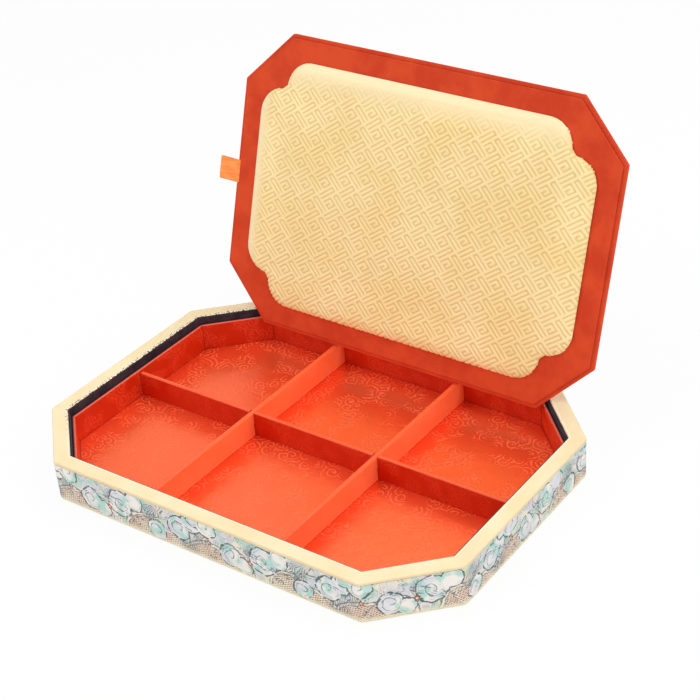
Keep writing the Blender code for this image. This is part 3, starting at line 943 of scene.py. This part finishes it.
def pad_form():
    """The pad before it swells, its three boxes remeshed as one."""
    narrow = PAD_WIDTH - 2 * PAD_LOBE_INSET
    short = PAD_LENGTH - 2 * PAD_LOBE_INSET
    broad = pad_box(PAD_LENGTH, narrow, PAD_LOBE, PAD_LOBE_STEPS, PAD_SHOULDER)
    tall = pad_box(short, PAD_WIDTH, PAD_LOBE, PAD_LOBE_STEPS, PAD_SHOULDER)
    inner_length = PAD_LENGTH - 2 * PAD_MIDDLE_INSET
    inner_width = PAD_WIDTH - 2 * PAD_MIDDLE_INSET
    middle = pad_box(inner_length, inner_width, PAD_MIDDLE_CUT, 1, PAD_MIDDLE_SHOULDER)
    start_modelling()
    for box in (broad, tall, middle):
        box.select_set(True)
    bpy.context.view_layer.objects.active = broad
    bpy.ops.object.join()
    broad.data.remesh_voxel_size = PAD_VOXEL
    broad.data.remesh_voxel_adaptivity = 0
    bpy.ops.object.voxel_remesh()
    return broad


def fret_height(x, y):
    """Height of the fret, 0 to 1, at arrays of places on the pad in metres."""
    angles = np.array((FRET_UP, FRET_DOWN))
    directions = np.stack((np.cos(angles), np.sin(angles)))
    places = np.linalg.inv(directions * FRET_PITCH) @ np.stack((x, y))
    repeats = np.floor(np.linalg.inv(FRET_REPEAT) @ places)
    strokes = [*FRET_BARS, *zip(FRET_SPIRAL, FRET_SPIRAL[1:])]
    nearest = np.full(x.shape, np.inf)
    for step in np.ndindex(3, 3):
        along, across = places - FRET_REPEAT @ (repeats + np.array(step)[:, None] - 1)
        for start, end in strokes:
            past_along = past_stroke(along, start[0], end[0])
            past_across = past_stroke(across, start[1], end[1])
            nearest = np.minimum(nearest, np.hypot(past_along, past_across))
    share = np.clip((FRET_HALF_BAR - nearest) / FRET_SOFT_EDGE, 0, 1)
    return share * share * (3 - 2 * share)


def past_stroke(places, start, end):
    """How far past a stroke's ends the places lie in one direction, and 0 beside it."""
    return np.maximum(abs(places - (start + end) / 2) - abs(end - start) / 2, 0)


def swell(pad):
    """The cover swells as cloth filled with pressure, held where it is glued to the lid."""
    held = pad.vertex_groups.new(name="held")
    below = [vert.index for vert in pad.data.vertices if vert.co.z > PAD_SEAT - PAD_GLUED]
    held.add(below, 1.0, "REPLACE")
    before = np.array([vert.co for vert in pad.data.vertices])
    cloth = pad.modifiers.new("cover", "CLOTH")
    settings = cloth.settings
    settings.quality = 6
    settings.mass = 0.2
    settings.tension_stiffness = 20
    settings.compression_stiffness = 20
    settings.shear_stiffness = 10
    settings.bending_stiffness = 0.6
    settings.use_pressure = True
    settings.uniform_pressure_force = 4
    settings.vertex_group_mass = "held"
    settings.effector_weights.gravity = 0
    cloth.collision_settings.use_collision = False
    scene = bpy.context.scene
    for step in range(1, PAD_SWELL_FRAMES + 1):
        scene.frame_set(step)
    graph = bpy.context.evaluated_depsgraph_get()
    swollen = pad.evaluated_get(graph).to_mesh()
    after = np.array([vert.co for vert in swollen.vertices])
    pad.evaluated_get(graph).to_mesh_clear()
    pad.modifiers.remove(cloth)
    scene.frame_set(1)
    normals = np.array([vert.normal for vert in pad.data.vertices])
    outward = np.clip(((after - before) * normals).sum(axis=1), 0, PAD_SWELL)
    for vert, place in zip(pad.data.vertices, before + normals * outward[:, None]):
        vert.co = place


def make_pad(material):
    pad = pad_form()
    swell(pad)
    bpy.ops.object.mode_set(mode="EDIT")
    bpy.ops.mesh.select_mode(type="FACE")
    maker = bmesh.from_edit_mesh(pad.data)
    pick(maker, "faces", lambda face: face.normal.z < PAD_UNDERSIDE_TILT)
    bpy.ops.mesh.subdivide(number_cuts=PAD_FACE_CUTS, smoothness=1.0)
    bpy.ops.object.mode_set(mode="OBJECT")
    emboss(pad)
    bpy.ops.object.shade_smooth()
    pad.data.transform(OPEN_LID)
    finish_piece(pad, "pad_brocade_cover", material, "lid", ["pad_cover"])


def emboss(pad):
    """Raises the fret on the cover's face and maps the cloth, in metres, on the pad's plane."""
    mesh = pad.data
    count = len(mesh.vertices)
    places = np.empty((count, 3), np.float32)
    normals = np.empty((count, 3), np.float32)
    mesh.vertices.foreach_get("co", places.ravel())
    mesh.vertices.foreach_get("normal", normals.ravel())
    height = fret_height(places[:, 0], -places[:, 1])
    facing = np.clip(FRET_STEEPEST - normals[:, 2], 0, 1)
    from_left = places[:, 0] + PAD_LENGTH / 2 - FRET_PLAIN_LEFT
    from_top = places[:, 1] + PAD_WIDTH / 2 - FRET_PLAIN_TOP
    woven = np.clip(np.minimum(from_left / FRET_FADE_LEFT, from_top / FRET_FADE_TOP), 0, 1)
    relief = height * facing * woven
    places = places + normals * (relief * FRET_RELIEF)[:, None]
    mesh.vertices.foreach_set("co", places.astype(np.float32).ravel())
    # The second attribute marks the plain edge at the left and top, which gets a painted highlight
    for name, values in (("fret", relief), ("stretched", 1 - woven)):
        attribute = mesh.attributes.new(name, "FLOAT", "POINT")
        attribute.data.foreach_set("value", values.astype(np.float32))
    layer = mesh.uv_layers.new(name="cloth")
    corners = np.empty(len(mesh.loops), np.int32)
    mesh.loops.foreach_get("vertex_index", corners)
    layer.data.foreach_set("uv", places[corners][:, :2].astype(np.float32).ravel())
    mesh.update()


def make_ribbon(material):
    """One satin ribbon folded to a loop, with both ends glued between the lid's boards."""
    start_modelling()
    length = RIBBON_ROOT - RIBBON_BEND_MIDDLE
    middle = (RIBBON_BEND_MIDDLE + length / 2, 0, RIBBON_LEVEL + RIBBON_BEND)
    bpy.ops.mesh.primitive_grid_add(
        x_subdivisions=RIBBON_STEPS_LONG, y_subdivisions=RIBBON_STEPS_WIDE, size=1, location=middle
    )
    ribbon = bpy.context.object
    ribbon.scale = (length, RIBBON_WIDTH, 1)
    bpy.ops.object.transform_apply(location=True, rotation=True, scale=True)
    bpy.ops.object.mode_set(mode="EDIT")
    bpy.ops.mesh.select_mode(type="EDGE")
    maker = bmesh.from_edit_mesh(ribbon.data)
    furthest = RIBBON_BEND_MIDDLE + SAME_PLACE
    pick(maker, "edges", lambda edge: all(vert.co.x < furthest for vert in edge.verts))
    centre = (RIBBON_BEND_MIDDLE, 0, RIBBON_LEVEL)
    bpy.ops.mesh.spin(steps=RIBBON_BEND_STEPS, angle=-math.pi / 2, center=centre, axis=(0, 1, 0))
    bpy.ops.mesh.select_all(action="SELECT")
    bpy.ops.mesh.duplicate()
    bpy.ops.transform.resize(value=(1, 1, -1), center_override=(0, 0, RIBBON_LEVEL))
    bpy.ops.mesh.select_all(action="SELECT")
    bpy.ops.mesh.remove_doubles(threshold=SAME_PLACE)
    bpy.ops.mesh.normals_make_consistent(inside=False)
    bpy.ops.object.mode_set(mode="OBJECT")
    for vert in ribbon.data.vertices:
        ease_ribbon(vert.co)
    layer = ribbon.data.uv_layers[0]
    for loop in ribbon.data.loops:
        layer.data[loop.index].uv = ribbon.data.vertices[loop.vertex_index].co.to_2d()
    thicken(ribbon, RIBBON_THICKNESS, 0)
    ribbon.data.transform(OPEN_LID)
    bpy.ops.object.shade_smooth_by_angle(angle=RIBBON_SMOOTH_ANGLE)
    name_piece(ribbon, "ribbon_tab", material)
    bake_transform(ribbon)
    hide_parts("pull_tab", "tab_root")


def ease_ribbon(point):
    """Brings the two layers together from the loop's end to the lid, and cups the loop a little."""
    share = min(max((RIBBON_ROOT - point.x) / (RIBBON_ROOT - RIBBON_BEND_MIDDLE), 0.0), 1.0)
    closed = RIBBON_THICKNESS / 2 + RIBBON_GAP
    spread = closed + (RIBBON_BEND - closed) * max(0.0, share * 2 - 1) ** 2
    out = max(0.0, (RIBBON_FOLD - point.x) / (RIBBON_FOLD - RIBBON_TIP))
    cup = RIBBON_CUP * (2 * point.y / RIBBON_WIDTH) ** 2 * out
    point.z = RIBBON_LEVEL + (point.z - RIBBON_LEVEL) * spread / RIBBON_BEND + cup


def dress_nodes():
    """New finishes on the nodes that stay. Each red damask has its ground, figure and edge; the
    three are one satin, with painted shade on the liner walls and the long divider and painted
    light on the cross dividers.
    """
    suede = red_suede()
    board = grey_board()
    # One satin in three copies: darker grounds are painted shade on the liner walls and the long
    # divider, and a lighter ground is painted light on the cross dividers
    liner_damask_painted_shade = red_damask(
        "red damask on the walls", dye(200, 44, 10), dye(232, 84, 48), dye(238, 108, 84)
    )
    long_damask_painted_shade = red_damask(
        "red damask along", dye(202, 38, 4), dye(230, 78, 40), dye(240, 92, 48)
    )
    cross_damask_painted_light = red_damask(
        "red damask across", dye(255, 120, 70), dye(255, 132, 86), dye(252, 98, 50)
    )
    finishes = {
        "rim_frame": cream_rim_cloth(),
        "velvet_band": navy_velvet(),
        "bottom_sheet": bottom_paper(),
        "lid_back_sheet": lid_paper(),
        "pad_card": pad_card_finish(),
        "pad_foam": pad_foam_finish(),
        "lid_board": suede,
        "lid_facing_board": suede,
        "floor_card": floor_satin(),
        "long_divider": long_damask_painted_shade,
        "cross_divider_left": cross_damask_painted_light,
        "cross_divider_right": cross_damask_painted_light,
    }
    for name, node in frame["nodes"].items():
        finish = finishes.get(name)
        if name.startswith("liner_wall"):
            finish = liner_damask_painted_shade
        if name.startswith(("outer_wall", "recess_board")) or name == "base_board":
            finish = board
        if finish is None:
            continue
        if not node.data.materials:
            node.data.materials.append(finish)
        for slot in node.material_slots:
            slot.material = finish


def make_camera():
    """The photo's camera. Its lens is shifted, because its view isn't centred on the picture."""
    reach = math.cos(VIEW_HEIGHT)
    back = Vector(
        (math.sin(VIEW_TURN) * reach, -math.cos(VIEW_TURN) * reach, math.sin(VIEW_HEIGHT))
    )
    level_right = (-back).cross(Vector((0, 0, 1))).normalized()
    level_up = level_right.cross(-back)
    right = math.cos(VIEW_ROLL) * level_right + math.sin(VIEW_ROLL) * level_up
    up = -math.sin(VIEW_ROLL) * level_right + math.cos(VIEW_ROLL) * level_up
    lens = bpy.data.cameras.new("camera")
    lens.sensor_width = SENSOR
    lens.lens = FOCAL_PIXELS * SENSOR / FRAME_PIXELS
    lens.shift_x = (FRAME_PIXELS / 2 - CENTRE_PIXEL[0]) / FRAME_PIXELS
    lens.shift_y = (CENTRE_PIXEL[1] - FRAME_PIXELS / 2) / FRAME_PIXELS
    camera = bpy.data.objects.new("camera", lens)
    bpy.context.scene.collection.objects.link(camera)
    turn = Matrix((right, up, back)).transposed().to_4x4()
    camera.matrix_world = Matrix.Translation(VIEW_MIDDLE + back * VIEW_DISTANCE) @ turn
    bpy.context.scene.camera = camera


def make_floor():
    """The white table: mostly plain white where it is seen, with a faint shadow on it."""
    start_modelling()
    bpy.ops.mesh.primitive_plane_add(size=TABLE_SIZE, location=(0, 0, 0))
    floor = bpy.context.object
    floor.name = "floor"
    material = bpy.data.materials.new("white table")
    material.use_nodes = True
    tree = material.node_tree
    shader = tree.nodes["Principled BSDF"]
    shader.inputs["Base Color"].default_value = TABLE_GREY
    shader.inputs["Roughness"].default_value = 0.9
    glow = tree.nodes.new("ShaderNodeEmission")
    glow.inputs["Color"].default_value = WHITE
    glow.inputs["Strength"].default_value = 1.0
    output = tree.nodes["Material Output"]
    show_bright(tree, TABLE_GLOW, shader, glow, output)
    floor.data.materials.append(material)


def show_bright(tree, share, lit, bright, output):
    """What is seen takes that share of the bright shader, and the lit one gives all the light.

    Seen are the rays from the camera, and those through a reflection or glass.
    """
    path = tree.nodes.new("ShaderNodeLightPath")
    camera, through, mirrored = (
        Tone(tree, path.outputs[f"Is {kind} Ray"])
        for kind in ("Camera", "Transmission", "Glossy")
    )
    mixed = tree.nodes.new("ShaderNodeMixShader")
    feed(tree, mixed.inputs[0], camera.most(through).most(mirrored) * share)
    tree.links.new(lit.outputs[0], mixed.inputs[1])
    tree.links.new(bright.outputs[0], mixed.inputs[2])
    tree.links.new(mixed.outputs[0], output.inputs["Surface"])


def make_lights():
    """A white room, seen bright but giving only a low ambient light, and the softboxes."""
    world = bpy.data.worlds.new("studio")
    bpy.context.scene.world = world
    world.use_nodes = True
    tree = world.node_tree
    ambient = tree.nodes["Background"]
    ambient.inputs["Color"].default_value = WHITE
    ambient.inputs["Strength"].default_value = AMBIENT
    backdrop = tree.nodes.new("ShaderNodeBackground")
    backdrop.inputs["Color"].default_value = WHITE
    backdrop.inputs["Strength"].default_value = 1.0
    show_bright(tree, 1.0, ambient, backdrop, tree.nodes["World Output"])
    for name, (place, target, size, power) in LAMPS.items():
        lamp = bpy.data.lights.new(name, "AREA")
        lamp.shape = "RECTANGLE"
        lamp.size, lamp.size_y = size
        lamp.energy = power
        holder = bpy.data.objects.new(name, lamp)
        holder.location = place
        aim = Vector(target) - Vector(place)
        holder.rotation_euler = aim.to_track_quat("-Z", "Y").to_euler()
        bpy.context.scene.collection.objects.link(holder)
    bpy.context.scene.view_settings.view_transform = "Standard"


make_camera()
make_lights()
make_floor()
dress_nodes()

# The pieces modelled here in place of the frame's plain ones
make_printed_wrap(printed_cloth())
make_pad(cream_brocade())
make_ribbon(orange_satin())

bpy.context.view_layer.update()
